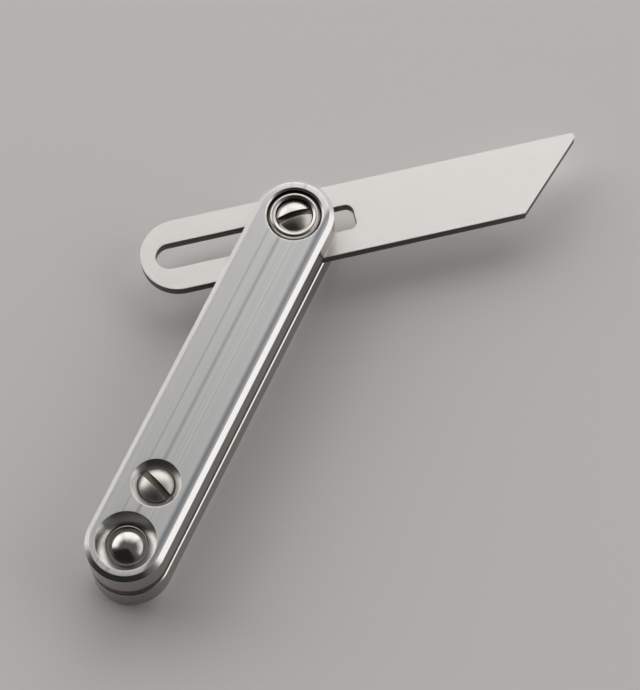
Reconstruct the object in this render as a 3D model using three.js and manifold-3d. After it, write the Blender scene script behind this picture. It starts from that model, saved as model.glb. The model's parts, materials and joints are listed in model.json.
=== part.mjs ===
// Sliding bevel with a push-button release, lying flat, in millimetres with +Z up.
// The origin is the middle of the body's underside, and +X runs from the button to the pivot.

import * as THREE from 'three';
import { mergeVertices } from 'three/addons/utils/BufferGeometryUtils.js';
import Module from 'manifold-3d';

const wasm = await Module();
wasm.setup();

// Body: two round-ended bars of one outline, with the blade's gap between them
const bodyWidth = 20;
const axisSpan = 94.5;
const halfThickness = 8.5;
const outerChamfer = 1.2;
const seamChamfer = 0.3;

// Blade, slot and the bush that guides it
const bladeWidth = 19.4;
const bladeThickness = 3;
const bladePlay = 0.1;
const tipReach = 67.3;
const tipAngle = 45;
const tipRadius = 1;
const heelRadius = 0.4;
const tailReach = 30.3;
const slotTailReach = 32.65;
const slotHeadReach = 15.55;
const slotCornerRadius = 2.1;
const bushRadius = 3.38;
const bushShy = 0.05;
const bladeAngle = -52;

// Clamp post and the collar and screw on its upper end
const postRadius = 2.7;
const postHeadRadius = 4.6;
const postHeadThickness = 1.1;
const postTopShy = 0.25;
const postTapDepth = 8;
const collarRadius = 6.2;
const collarBoreRadius = 4.85;
const collarCrestRadius = 5.5;
const collarCrestDepth = 0.3;
const collarOuterDrop = 0.6;
const collarInnerDrop = 0.3;
const collarFloor = 1;
const collarWellRadius = 6.95;
const collarWellDepth = 4.1;
const collarWellBreak = 0.4;
const tensionHeadRadius = 4.3;
const tensionHeadEdge = 1.55;
const tensionDomeRise = 1.4;
const tensionShankRadius = 1.5;
const tensionShankLength = 7;
const tensionSlotAngle = -46.5;

// Blade washer in the upper half and spring retainer in the lower half
const washerRadius = 7.4;
const washerThickness = 0.8;
const retainerRadius = 7.4;
const retainerThickness = 1.3;
const retainerBoreRadius = 3;
const spannerHoleRadius = 0.8;
const spannerHoleReach = 5.2;

// Disc springs, stacked in turn face up and face down
const discCount = 4;
const discRadius = 5.3;
const discBoreRadius = 2.85;
const discThickness = 0.35;
const discCone = 0.12;
const springWellRadius = 5.8;

// Release button and its finger dish
const dishRadius = 7.34;
const dishDepth = 3.7;
const buttonRadius = 5.05;
const buttonRimDepth = 3.8;
const buttonEdgeBreak = 0.2;
const domeRadius = 4.4;
const domeRise = 1.6;
const buttonFlangeRadius = 5.9;
const buttonFlangeThickness = 1.2;
const buttonWebThickness = 1.4;
const buttonStemRadius = 2;

// Release lever on its fulcrum pin, in a channel of the lower half
const fulcrumReach = 20;
const leverHalfWidth = 3.5;
const leverFrontThickness = 1.8;
const leverRearThickness = 2;
const leverRearDrop = 1.6;
const leverPadRadius = 3.5;
const leverBossRadius = 2.6;
const leverEyeWall = 2.1;
const leverGap = 0.2;
const channelClearance = 0.5;
const channelFloor = 1.6;
const fulcrumPinRadius = 1.5;
const fulcrumPinLength = 13.6;
const fulcrumDepth = 3.8;

// Return spring under the lever's rear pad
const coilRadius = 2;
const coilWireRadius = 0.22;
const coilTurns = 3;
const coilRecessRadius = 2.6;
const coilRecessDepth = 0.6;

// Rear screw, spacer and locating dowel
const rearScrewReach = 16.07;
const dowelReach = 8;
const sinkRadius = 6.1;
const sinkAngle = 82;
const rearHeadRadius = 4.35;
const rearHeadEdge = 0.4;
const rearDomeRise = 1.3;
const rearShankRadius = 2;
const rearTapDepth = 5.9;
const rearTipShy = 0.5;
const rearSlotAngle = 67.9;
const pillarRadius = 3.4;
const spacerRadius = 3.6;
const dowelRadius = 1.25;
const dowelDepth = 3;
const dowelEndShy = 0.2;

// Slots in both screw heads
const driverSlotWidth = 1.4;
const driverSlotDepth = 1.6;

// Fits
const runClearance = 0.1;
const boltClearance = 0.15;
const pressClearance = 0.05;
const seatGap = 0.05;
const overrun = 1;

// Smoothness
const endSteps = 32;
const roundSteps = 48;
const smallSteps = 32;
const domeSteps = 7;
const coilStepsPerTurn = 8;
const coilSides = 5;

// Heights and stations that follow from the sizes above
const bodyRadius = bodyWidth / 2;
const pivotX = axisSpan / 2;
const buttonX = -axisSpan / 2;
const rearScrewX = buttonX + rearScrewReach;
const dowelX = buttonX + dowelReach;
const fulcrumX = pivotX - fulcrumReach;
const lowerTop = halfThickness;
const upperBottom = lowerTop + bladeThickness + 2 * bladePlay;
const faceTop = upperBottom + halfThickness;
const bladeBottom = lowerTop + bladePlay;
const collarWellFloor = faceTop - collarWellDepth;
const retainerBottom = lowerTop - retainerThickness;
const discPitch = discThickness + discCone + seatGap;
const postHeadTop = retainerBottom - discCount * discPitch - seatGap;
const postHeadBottom = postHeadTop - postHeadThickness;
const leverFrontTop = postHeadBottom - leverGap;
const leverFrontBottom = leverFrontTop - leverFrontThickness;
const leverRearTop = lowerTop - leverRearDrop;
const leverRearBottom = leverRearTop - leverRearThickness;
const fulcrumHeight = lowerTop - fulcrumDepth;
const channelHalfWidth = leverHalfWidth + channelClearance;
const eyeRadius = pillarRadius + channelClearance;
const leverEyeRadius = eyeRadius + leverEyeWall;
const buttonBoreRadius = buttonRadius + runClearance;
const buttonFlangeTop = faceTop - dishDepth - buttonWebThickness - seatGap;
const sinkSlope = Math.tan(THREE.MathUtils.degToRad(sinkAngle / 2));

// Solids are joined and cut as closed meshes that hold positions alone
function solidOf(geometry) {
  const bare = geometry.clone();
  bare.deleteAttribute('normal');
  bare.deleteAttribute('uv');
  const merged = mergeVertices(bare);
  const corners = merged.index.array;
  const kept = [];
  for (let i = 0; i < corners.length; i += 3) {
    const [a, b, c] = corners.slice(i, i + 3);
    if (a !== b && b !== c && c !== a) kept.push(a, b, c);
  }
  const vertProperties = new Float32Array(merged.attributes.position.array);
  return new wasm.Manifold(new wasm.Mesh({ numProp: 3, vertProperties, triVerts: new Uint32Array(kept) }));
}

function geometryOf(solid) {
  const mesh = solid.getMesh();
  const geometry = new THREE.BufferGeometry();
  geometry.setAttribute('position', new THREE.BufferAttribute(mesh.vertProperties, 3));
  geometry.setIndex(new THREE.BufferAttribute(mesh.triVerts, 1));
  return geometry;
}

function joined(...geometries) {
  return geometryOf(geometries.map(solidOf).reduce((all, next) => all.add(next)));
}

function cut(body, ...tools) {
  return geometryOf(tools.map(solidOf).reduce((rest, tool) => rest.subtract(tool), solidOf(body)));
}

function common(first, second) {
  return geometryOf(solidOf(first).intersect(solidOf(second)));
}

// A profile of [radius, height] pairs turned about the Z axis
function turned(profile, steps = roundSteps) {
  const points = profile.map(([radius, height]) => new THREE.Vector2(radius, height));
  return new THREE.LatheGeometry(points, steps).rotateX(Math.PI / 2);
}

function cylinder(radius, bottom, top, steps = roundSteps) {
  return turned([[0, bottom], [radius, bottom], [radius, top], [0, top]], steps);
}

// A flat shape raised from one height to another
function raised(shape, bottom, top, steps = endSteps) {
  const geometry = new THREE.ExtrudeGeometry(shape, {
    depth: top - bottom,
    bevelEnabled: false,
    curveSegments: steps / 2,
  });
  return geometry.translate(0, 0, bottom);
}

function at(geometry, x, y = 0) {
  return geometry.translate(x, y, 0);
}

// A stadium along X: two half circles joined by straight sides
function stadium(startX, endX, radius) {
  const shape = new THREE.Shape();
  shape.absarc(endX, 0, radius, -Math.PI / 2, Math.PI / 2);
  shape.absarc(startX, 0, radius, Math.PI / 2, Math.PI * 1.5);
  shape.closePath();
  return shape;
}

// A closed outline through corners, each a [x, y, radius] with its own rounding
function roundedOutline(corners, path = new THREE.Shape()) {
  const points = corners.map(([x, y]) => new THREE.Vector2(x, y));
  corners.forEach(([, , radius], i) => {
    const corner = points[i];
    const back = points[(i + points.length - 1) % points.length].clone().sub(corner).normalize();
    const ahead = points[(i + 1) % points.length].clone().sub(corner).normalize();
    const half = back.angleTo(ahead) / 2;
    const turn = Math.sign(ahead.cross(back));
    const middle = back.clone().add(ahead).normalize();
    const centre = corner.clone().addScaledVector(middle, radius / Math.sin(half));
    const start = corner.clone().addScaledVector(back, radius / Math.tan(half)).sub(centre);
    const end = corner.clone().addScaledVector(ahead, radius / Math.tan(half)).sub(centre);
    path.absarc(centre.x, centre.y, radius, start.angle(), end.angle(), turn < 0);
  });
  path.closePath();
  return path;
}

// A bar of the body's outline, lofted through [height, inset] levels
function bodyBar(levels) {
  const positions = [];
  const rings = levels.map(([height, inset]) => {
    const outline = stadium(buttonX, pivotX, bodyRadius - inset).extractPoints(endSteps / 2).shape;
    return outline.slice(0, -1).map((point) => new THREE.Vector3(point.x, point.y, height));
  });
  const face = (a, b, c) => positions.push(...a.toArray(), ...b.toArray(), ...c.toArray());
  const count = rings[0].length;
  for (let level = 1; level < rings.length; level += 1) {
    for (let i = 0; i < count; i += 1) {
      const next = (i + 1) % count;
      face(rings[level - 1][i], rings[level - 1][next], rings[level][next]);
      face(rings[level - 1][i], rings[level][next], rings[level][i]);
    }
  }
  const bottom = rings[0];
  const top = rings[rings.length - 1];
  THREE.ShapeUtils.triangulateShape(top, []).forEach(([a, b, c]) => {
    face(top[a], top[b], top[c]);
    face(bottom[c], bottom[b], bottom[a]);
  });
  const geometry = new THREE.BufferGeometry();
  geometry.setAttribute('position', new THREE.Float32BufferAttribute(positions, 3));
  return geometry;
}

// A spherical cap's profile from its edge to the axis
function capProfile(radius, rise, base) {
  const sphere = (radius * radius + rise * rise) / (2 * rise);
  const reach = Math.asin(radius / sphere);
  return Array.from({ length: domeSteps + 1 }, (_, i) => {
    const angle = reach * (1 - i / domeSteps);
    return [sphere * Math.sin(angle), base + sphere * (Math.cos(angle) - Math.cos(reach))];
  });
}

function driverSlot(headRadius, top, angle) {
  const length = 2 * (headRadius + overrun);
  const slot = new THREE.BoxGeometry(length, driverSlotWidth, driverSlotDepth + overrun);
  slot.translate(0, 0, top - driverSlotDepth / 2 + overrun / 2);
  return slot.rotateZ(THREE.MathUtils.degToRad(angle));
}

// Lower half: a closed bar milled from its seam side for the lever, springs and rear screw
function lowerBodyHalf() {
  const bar = bodyBar([
    [0, outerChamfer],
    [outerChamfer, 0],
    [lowerTop - seamChamfer, 0],
    [lowerTop, seamChamfer],
  ]);
  const top = lowerTop + overrun;
  const channel = joined(
    raised(stadium(buttonX, pivotX, channelHalfWidth), channelFloor, top),
    raised(stadium(dowelX, rearScrewX, leverEyeRadius + channelClearance), channelFloor, top),
    at(cylinder(springWellRadius, channelFloor, top), pivotX),
    at(cylinder(coilRecessRadius, channelFloor - coilRecessDepth, top), buttonX),
  );
  const pillar = raised(stadium(dowelX, rearScrewX, pillarRadius), 0, top);
  const saddle = new THREE.CylinderGeometry(
    fulcrumPinRadius + runClearance,
    fulcrumPinRadius + runClearance,
    fulcrumPinLength + 2 * boltClearance,
    smallSteps,
  ).translate(fulcrumX, 0, fulcrumHeight);
  const saddleMouth = new THREE.BoxGeometry(
    2 * (fulcrumPinRadius + runClearance),
    fulcrumPinLength + 2 * boltClearance,
    top - fulcrumHeight,
  ).translate(fulcrumX, 0, (top + fulcrumHeight) / 2);
  return cut(
    bar,
    cut(channel, pillar),
    at(cylinder(retainerRadius + pressClearance, retainerBottom, top), pivotX),
    joined(saddle, saddleMouth),
    at(cylinder(rearShankRadius + boltClearance, lowerTop - rearTapDepth, top, smallSteps), rearScrewX),
    at(cylinder(dowelRadius + pressClearance, lowerTop - dowelDepth, top, smallSteps), dowelX),
  );
}

// Upper half: the collar's well, the rear screw's countersink and the button's finger dish
function upperBodyHalf() {
  const bar = bodyBar([
    [upperBottom, seamChamfer],
    [upperBottom + seamChamfer, 0],
    [faceTop - outerChamfer, 0],
    [faceTop, outerChamfer],
  ]);
  const bottom = upperBottom - overrun;
  const top = faceTop + overrun;
  const collarWell = turned([
    [0, collarWellFloor],
    [collarWellRadius, collarWellFloor],
    [collarWellRadius, faceTop - collarWellBreak],
    [collarWellRadius + collarWellBreak, faceTop],
    [collarWellRadius + collarWellBreak, top],
    [0, top],
  ]);
  const sinkBore = rearShankRadius + boltClearance;
  const sink = turned([
    [0, bottom],
    [sinkBore, bottom],
    [sinkBore, faceTop - (sinkRadius - sinkBore) / sinkSlope],
    [sinkRadius, faceTop],
    [sinkRadius, top],
    [0, top],
  ]);
  const buttonCeiling = buttonFlangeTop + seatGap;
  const dish = turned([
    [0, bottom],
    [buttonFlangeRadius + boltClearance, bottom],
    [buttonFlangeRadius + boltClearance, buttonCeiling],
    [buttonBoreRadius, buttonCeiling],
    [buttonBoreRadius, faceTop - dishDepth],
    [dishRadius, faceTop],
    [dishRadius, top],
    [0, top],
  ]);
  return cut(
    bar,
    at(collarWell, pivotX),
    at(cylinder(postRadius + boltClearance, bottom, top), pivotX),
    at(cylinder(washerRadius + pressClearance, bottom, upperBottom + washerThickness + seatGap), pivotX),
    at(sink, rearScrewX),
    at(dish, buttonX),
    at(cylinder(dowelRadius + pressClearance, bottom, upperBottom + dowelDepth, smallSteps), dowelX),
  );
}

// Blade: parallel edges, round tail, mitred tip, and a slot with one round and one square end
function blade() {
  const half = bladeWidth / 2;
  const slant = half / Math.tan(THREE.MathUtils.degToRad(tipAngle));
  const outline = new THREE.Shape();
  outline.absarc(-tailReach, 0, half, Math.PI / 2, Math.PI * 1.5);
  const heel = roundedOutline([
    [-tailReach, half, tipRadius],
    [-tailReach, -half, tipRadius],
    [tipReach - slant, -half, heelRadius],
    [tipReach + slant, half, tipRadius],
  ]).extractPoints(endSteps / 2).shape;
  heel.filter((point) => point.x > 0).forEach((point) => outline.lineTo(point.x, point.y));
  outline.closePath();
  const slotHalf = bushRadius + runClearance;
  const slot = new THREE.Path();
  slot.absarc(-slotTailReach, 0, slotHalf, Math.PI / 2, Math.PI * 1.5);
  const squareEnd = roundedOutline([
    [-slotTailReach, slotHalf, slotCornerRadius],
    [-slotTailReach, -slotHalf, slotCornerRadius],
    [slotHeadReach, -slotHalf, slotCornerRadius],
    [slotHeadReach, slotHalf, slotCornerRadius],
  ]).extractPoints(endSteps / 4).shape;
  squareEnd.filter((point) => point.x > 0).forEach((point) => slot.lineTo(point.x, point.y));
  slot.closePath();
  outline.holes.push(slot);
  return raised(outline, 0, bladeThickness);
}

// Bush that turns on the post and slides in the blade's slot
function slideBush() {
  const height = bladeThickness - 2 * bushShy;
  return cut(
    cylinder(bushRadius, bushShy, bushShy + height),
    cylinder(postRadius + runClearance, -overrun, bladeThickness + overrun),
  );
}

// Clamp post: a headed stud that draws the halves together, tapped from above
function clampPost() {
  const top = collarWellFloor - postTopShy;
  const bore = tensionShankRadius + boltClearance;
  return turned([
    [0, postHeadBottom],
    [postHeadRadius, postHeadBottom],
    [postHeadRadius, postHeadTop],
    [postRadius, postHeadTop],
    [postRadius, top],
    [bore, top],
    [bore, top - postTapDepth],
    [0, top - postTapDepth],
  ]);
}

// Collar: the bright ring in the well, with a bevelled crest and a floor for the screw's head
function clampCollar() {
  const bottom = collarWellFloor + seatGap;
  const crest = faceTop - collarCrestDepth;
  const crestHalf = collarInnerDrop / 2;
  return turned([
    [tensionShankRadius + boltClearance, bottom],
    [collarRadius, bottom],
    [collarRadius, crest - collarOuterDrop],
    [collarCrestRadius + crestHalf, crest],
    [collarCrestRadius - crestHalf, crest],
    [collarBoreRadius, crest - collarInnerDrop],
    [collarBoreRadius, bottom + collarFloor],
    [tensionShankRadius + boltClearance, bottom + collarFloor],
    [tensionShankRadius + boltClearance, bottom],
  ]);
}

// Tension screw: a domed, slotted head down in the collar
function tensionScrew() {
  const seat = collarWellFloor + collarFloor + 2 * seatGap;
  const rim = seat + tensionHeadEdge;
  const body = turned([
    [0, seat - tensionShankLength],
    [tensionShankRadius, seat - tensionShankLength],
    [tensionShankRadius, seat],
    [tensionHeadRadius, seat],
    ...capProfile(tensionHeadRadius, tensionDomeRise, rim),
  ]);
  return cut(body, driverSlot(tensionHeadRadius, rim + tensionDomeRise, tensionSlotAngle));
}

function bladeWasher() {
  return cut(
    cylinder(washerRadius, upperBottom, upperBottom + washerThickness),
    cylinder(postRadius + runClearance, upperBottom - overrun, upperBottom + washerThickness + overrun),
  );
}

// Spring retainer: a threaded ring with two holes for a pin spanner
function springRetainer() {
  const below = retainerBottom - overrun;
  const above = lowerTop + overrun;
  return cut(
    cylinder(retainerRadius, retainerBottom, lowerTop),
    cylinder(retainerBoreRadius, below, above),
    at(cylinder(spannerHoleRadius, below, above, smallSteps), 0, spannerHoleReach),
    at(cylinder(spannerHoleRadius, below, above, smallSteps), 0, -spannerHoleReach),
  );
}

// One disc spring, its cone facing up or down
function discSpring(index) {
  const bottom = postHeadTop + seatGap + index * discPitch;
  const innerLift = index % 2 ? 0 : discCone;
  const outerLift = discCone - innerLift;
  return turned([
    [discBoreRadius, bottom + innerLift],
    [discRadius, bottom + outerLift],
    [discRadius, bottom + outerLift + discThickness],
    [discBoreRadius, bottom + innerLift + discThickness],
    [discBoreRadius, bottom + innerLift],
  ], smallSteps);
}

// Button: a polished dome on a flanged body, with a stem down to the lever
function releaseButton() {
  const rim = faceTop - buttonRimDepth;
  const flangeBottom = buttonFlangeTop - buttonFlangeThickness;
  return turned([
    [0, leverRearTop + leverGap],
    [buttonStemRadius, leverRearTop + leverGap],
    [buttonStemRadius, flangeBottom],
    [buttonFlangeRadius, flangeBottom],
    [buttonFlangeRadius, buttonFlangeTop],
    [buttonRadius, buttonFlangeTop],
    [buttonRadius, rim - buttonEdgeBreak],
    [buttonRadius - buttonEdgeBreak, rim],
    ...capProfile(domeRadius, domeRise, rim),
  ]);
}

// Lever: a cranked rocker with an eye round the pillar and a boss on the fulcrum pin
function releaseLever() {
  const side = new THREE.Shape();
  side.moveTo(buttonX - leverPadRadius, leverRearBottom);
  side.lineTo(fulcrumX, leverRearBottom);
  side.lineTo(fulcrumX, leverFrontBottom);
  side.lineTo(pivotX + leverPadRadius, leverFrontBottom);
  side.lineTo(pivotX + leverPadRadius, leverFrontTop);
  side.lineTo(fulcrumX + leverBossRadius, leverFrontTop);
  side.lineTo(fulcrumX, leverRearTop);
  side.lineTo(buttonX - leverPadRadius, leverRearTop);
  side.closePath();
  const width = 2 * leverEyeRadius;
  const slab = raised(side, -width / 2, width / 2).rotateX(Math.PI / 2);
  const plan = joined(
    raised(stadium(buttonX, pivotX, leverHalfWidth), 0, lowerTop),
    raised(stadium(dowelX, rearScrewX, leverEyeRadius), 0, lowerTop),
  );
  const boss = new THREE.CylinderGeometry(leverBossRadius, leverBossRadius, 2 * leverHalfWidth, smallSteps);
  const pinBore = fulcrumPinRadius + runClearance;
  const bore = new THREE.CylinderGeometry(pinBore, pinBore, width, smallSteps);
  return cut(
    joined(common(slab, plan), boss.translate(fulcrumX, 0, fulcrumHeight)),
    raised(stadium(dowelX, rearScrewX, eyeRadius), -overrun, lowerTop + overrun),
    bore.translate(fulcrumX, 0, fulcrumHeight),
  );
}

function fulcrumPin() {
  return new THREE.CylinderGeometry(fulcrumPinRadius, fulcrumPinRadius, fulcrumPinLength, smallSteps);
}

// Return spring: a short open coil standing in its recess under the lever's pad
class Helix extends THREE.Curve {
  constructor(bottom, top) {
    super();
    this.bottom = bottom;
    this.top = top;
  }

  getPoint(share, target = new THREE.Vector3()) {
    const angle = share * coilTurns * 2 * Math.PI;
    const height = THREE.MathUtils.lerp(this.bottom, this.top, share);
    return target.set(coilRadius * Math.cos(angle), coilRadius * Math.sin(angle), height);
  }
}

function returnSpring() {
  const wire = new THREE.Shape().absarc(0, 0, coilWireRadius, 0, 2 * Math.PI);
  const section = new THREE.Shape(wire.getSpacedPoints(coilSides).slice(0, -1));
  const bottom = channelFloor - coilRecessDepth + seatGap + coilWireRadius;
  const top = leverRearBottom - seatGap - coilWireRadius;
  return new THREE.ExtrudeGeometry(section, {
    steps: coilTurns * coilStepsPerTurn,
    extrudePath: new Helix(bottom, top),
    bevelEnabled: false,
  });
}

// Rear screw: an oval head with a short edge in the countersink, and a shank into the pillar
function rearScrew() {
  const shoulder = faceTop - (sinkRadius - rearHeadRadius) / sinkSlope + seatGap;
  const neck = shoulder - (rearHeadRadius - rearShankRadius) / sinkSlope;
  const rim = shoulder + rearHeadEdge;
  const tip = lowerTop - rearTapDepth + rearTipShy;
  const body = turned([
    [0, tip],
    [rearShankRadius, tip],
    [rearShankRadius, neck],
    [rearHeadRadius, shoulder],
    ...capProfile(rearHeadRadius, rearDomeRise, rim),
  ]);
  return cut(body, driverSlot(rearHeadRadius, rim + rearDomeRise, rearSlotAngle));
}

// Spacer: a round-ended plate that keeps the gap open round the screw and the dowel
function rearSpacer() {
  const below = lowerTop - overrun;
  const above = upperBottom + overrun;
  return cut(
    raised(stadium(dowelX, rearScrewX, spacerRadius), lowerTop + seatGap, upperBottom - seatGap),
    at(cylinder(rearShankRadius + boltClearance, below, above, smallSteps), rearScrewX),
    at(cylinder(dowelRadius + pressClearance, below, above, smallSteps), dowelX),
  );
}

function dowelPin() {
  const bottom = lowerTop - dowelDepth + dowelEndShy;
  const top = upperBottom + dowelDepth - dowelEndShy;
  return cylinder(dowelRadius, bottom, top, smallSteps);
}

// Finishes
const finishes = {
  brushedAluminium: { color: 0xafaeaa, roughness: 0.4, metalness: 1 },
  satinSteel: { color: 0xe4dfd9, roughness: 0.38, metalness: 1 },
  polishedSteel: { color: 0xd6d0c4, roughness: 0.14, metalness: 1 },
  turnedSteel: { color: 0xc9c6c0, roughness: 0.28, metalness: 1 },
  springSteel: { color: 0x8d8f92, roughness: 0.35, metalness: 1 },
  bronze: { color: 0xb08a4e, roughness: 0.4, metalness: 1 },
  leverSteel: { color: 0x9a9b9c, roughness: 0.45, metalness: 1 },
};

function piece(name, geometry, finish, position = [0, 0, 0]) {
  const mesh = new THREE.Mesh(geometry, new THREE.MeshStandardMaterial(finishes[finish]));
  mesh.name = name;
  mesh.position.set(...position);
  return mesh;
}

const bevel = new THREE.Group();
bevel.add(
  piece('lower_body_half', lowerBodyHalf(), 'brushedAluminium'),
  piece('upper_body_half', upperBodyHalf(), 'brushedAluminium'),
  piece('rear_screw', rearScrew(), 'turnedSteel', [rearScrewX, 0, 0]),
  piece('rear_spacer', rearSpacer(), 'turnedSteel'),
  piece('dowel_pin', dowelPin(), 'turnedSteel', [dowelX, 0, 0]),
  piece('release_button', releaseButton(), 'polishedSteel', [buttonX, 0, 0]),
  piece('return_spring', returnSpring(), 'springSteel', [buttonX, 0, 0]),
  piece('release_lever', releaseLever(), 'leverSteel'),
  piece('fulcrum_pin', fulcrumPin(), 'turnedSteel', [fulcrumX, 0, fulcrumHeight]),
  piece('spring_retainer', springRetainer(), 'turnedSteel', [pivotX, 0, 0]),
  piece('blade_washer', bladeWasher(), 'bronze', [pivotX, 0, 0]),
  piece('clamp_post', clampPost(), 'turnedSteel', [pivotX, 0, 0]),
  piece('clamp_collar', clampCollar(), 'polishedSteel', [pivotX, 0, 0]),
  piece('tension_screw', tensionScrew(), 'polishedSteel', [pivotX, 0, 0]),
);
for (let i = 0; i < discCount; i += 1) {
  bevel.add(piece(`disc_spring_${i + 1}`, discSpring(i), 'springSteel', [pivotX, 0, 0]));
}

// The blade and its bush turn together about the post
const swing = new THREE.Group();
swing.position.set(pivotX, 0, bladeBottom);
swing.rotation.z = THREE.MathUtils.degToRad(bladeAngle);
swing.add(
  piece('slide_bush', slideBush(), 'bronze'),
  piece('blade', blade(), 'satinSteel'),
);
bevel.add(swing);

export default bevel;
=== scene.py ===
"""Looks of a sliding bevel with a push-button release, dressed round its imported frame, in metres."""

import json
import math

import bmesh
import bpy
from mathutils import Matrix, Vector
from mathutils.geometry import delaunay_2d_cdt


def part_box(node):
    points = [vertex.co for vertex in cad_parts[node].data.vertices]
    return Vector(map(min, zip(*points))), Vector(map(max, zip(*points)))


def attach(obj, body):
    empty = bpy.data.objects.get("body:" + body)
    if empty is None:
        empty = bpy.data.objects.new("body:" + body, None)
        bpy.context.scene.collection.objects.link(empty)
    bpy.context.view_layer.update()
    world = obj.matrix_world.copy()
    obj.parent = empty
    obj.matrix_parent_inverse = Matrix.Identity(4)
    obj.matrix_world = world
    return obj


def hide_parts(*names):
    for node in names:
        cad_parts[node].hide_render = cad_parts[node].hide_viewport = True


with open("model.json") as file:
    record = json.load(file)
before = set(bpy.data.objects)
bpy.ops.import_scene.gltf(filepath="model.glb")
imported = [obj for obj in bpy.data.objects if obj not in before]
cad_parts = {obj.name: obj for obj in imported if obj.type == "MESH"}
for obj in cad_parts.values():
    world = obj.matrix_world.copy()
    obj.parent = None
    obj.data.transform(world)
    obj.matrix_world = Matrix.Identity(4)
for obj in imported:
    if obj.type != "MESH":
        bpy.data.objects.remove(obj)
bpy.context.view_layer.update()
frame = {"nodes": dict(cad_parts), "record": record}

MM = 0.001

# Places and sizes that come from the frame
upper_low, upper_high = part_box("upper_body_half")
lower_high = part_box("lower_body_half")[1]
blade_low, blade_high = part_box("blade")
post_low, post_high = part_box("clamp_post")
spacer_low, spacer_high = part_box("rear_spacer")
rear_screw_low, rear_screw_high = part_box("rear_screw")
tension_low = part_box("tension_screw")[0]
collar_low, collar_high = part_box("clamp_collar")
button_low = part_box("release_button")[0]
retainer_low, retainer_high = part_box("spring_retainer")
washer_low, washer_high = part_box("blade_washer")
bush_low, bush_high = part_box("slide_bush")
dowel_low, dowel_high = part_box("dowel_pin")
fulcrum_low, fulcrum_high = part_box("fulcrum_pin")
coil_low, coil_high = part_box("return_spring")
disc_low, disc_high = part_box("disc_spring_1")
next_disc_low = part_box("disc_spring_2")[0]

BODY_RADIUS = (upper_high.y - upper_low.y) / 2
PIVOT = Vector((upper_high.x - BODY_RADIUS, 0))
BUTTON = Vector((upper_low.x + BODY_RADIUS, 0))
REAR_SCREW = Vector(((rear_screw_low.x + rear_screw_high.x) / 2, 0))
DOWEL = Vector(((dowel_low.x + dowel_high.x) / 2, 0))
FULCRUM = Vector(((fulcrum_low.x + fulcrum_high.x) / 2, 0, (fulcrum_low.z + fulcrum_high.z) / 2))
FULCRUM_PLACE = Matrix.Translation(FULCRUM) @ Matrix.Rotation(math.pi / 2, 4, "X")
FACE_TOP = upper_high.z
LOWER_TOP = lower_high.z
WASHER_RADIUS = (washer_high.x - washer_low.x) / 2
DOWEL_RADIUS = (dowel_high.x - dowel_low.x) / 2
RETAINER_RADIUS = (retainer_high.x - retainer_low.x) / 2

slide_axis = next(j["axis"] for j in frame["record"]["behaviour"]["joints"] if j["name"] == "blade_slide")
BLADE_TURN = math.atan2(slide_axis[1], slide_axis[0])

# Body halves
OUTER_CHAMFER = 1.2 * MM
SEAM_CHAMFER = 0.3 * MM
EDGE_ROUND = 0.08 * MM
CUT_ROUND = 0.05 * MM
FINE_ROUND = 0.1 * MM
LAND = 0.4 * MM
WELL_RADIUS = 6.95 * MM
WELL_DEPTH = 4.1 * MM
WELL_BREAK = 0.4 * MM
POST_BORE = 2.85 * MM
PRESS_CLEARANCE = 0.05 * MM
BOLT_CLEARANCE = 0.15 * MM
RUN_CLEARANCE = 0.1 * MM
SINK_RADIUS = 6.1 * MM
SINK_ROUND = 0.12 * MM
SINK_ANGLE = math.radians(82)
SINK_BORE = 2.15 * MM
SINK_SHADE = 4.5 * MM
DISH_RADIUS = 7.45 * MM
DISH_DEPTH = 2.9 * MM
BUTTON_BORE = 5.15 * MM
FLANGE_BORE = 6.05 * MM
CHANNEL_HALF_WIDTH = 4 * MM
CHANNEL_FLOOR = 1.6 * MM
EYE_POCKET = 6.5 * MM
PILLAR_RADIUS = 3.4 * MM
SPRING_WELL = 5.8 * MM
COIL_RECESS = 2.6 * MM
COIL_RECESS_DEPTH = 0.6 * MM
REAR_TAP_DEPTH = 5.9 * MM
DOWEL_DEPTH = 3 * MM
DOWEL_BORE = DOWEL_RADIUS + PRESS_CLEARANCE
OVERRUN = 1 * MM

# Blade
BLADE_WIDTH = 19.4 * MM
TIP_REACH = 67.3 * MM
TIP_ANGLE = math.radians(45)
TIP_RADIUS = 1 * MM
HEEL_RADIUS = 0.4 * MM
TAIL_REACH = 30.3 * MM
SLOT_HALF = 3.48 * MM
SLOT_TAIL = 32.65 * MM
SLOT_HEAD = 15.55 * MM
SLOT_CORNER = 2.1 * MM
BLADE_EDGE = 0.1 * MM
BUSH_RADIUS = 3.38 * MM

# Collar and screws
COLLAR_RADIUS = 6.5 * MM
COLLAR_BORE = 4.75 * MM
COLLAR_CREST = 5.65 * MM
COLLAR_CREST_POINT = 0.22 * MM
COLLAR_CREST_ROUND = 0.75 * MM
COLLAR_OUTER_DROP = 0.75 * MM
COLLAR_INNER_DROP = 0.35 * MM
COLLAR_FLOOR = 1 * MM
TENSION_HEAD = 4.45 * MM
TENSION_EDGE = 1.55 * MM
TENSION_DOME = 1.4 * MM
TENSION_SLOT_TURN = math.radians(-46.5)
TENSION_SHANK = 1.5 * MM
TENSION_PITCH = 0.5 * MM
REAR_HEAD = 4.35 * MM
REAR_EDGE = 0.4 * MM
REAR_DOME = 1.3 * MM
REAR_SLOT_TURN = math.radians(67.9)
REAR_SHANK = 2 * MM
REAR_PITCH = 0.7 * MM
SLOT_WIDTH = 1.65 * MM
SLOT_DEPTH = 1.6 * MM
SLOT_EDGE = 0.05 * MM
SLOT_EDGE_ANGLE = math.radians(55)
SLOT_FLOOR_ROUND = 0.08 * MM
HEAD_ROUND = 0.06 * MM
TENSION_TIP_ROUND = 0.2 * MM
REAR_TIP_ROUND = 0.25 * MM
REAR_THREAD_SHY = 0.4 * MM
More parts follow.
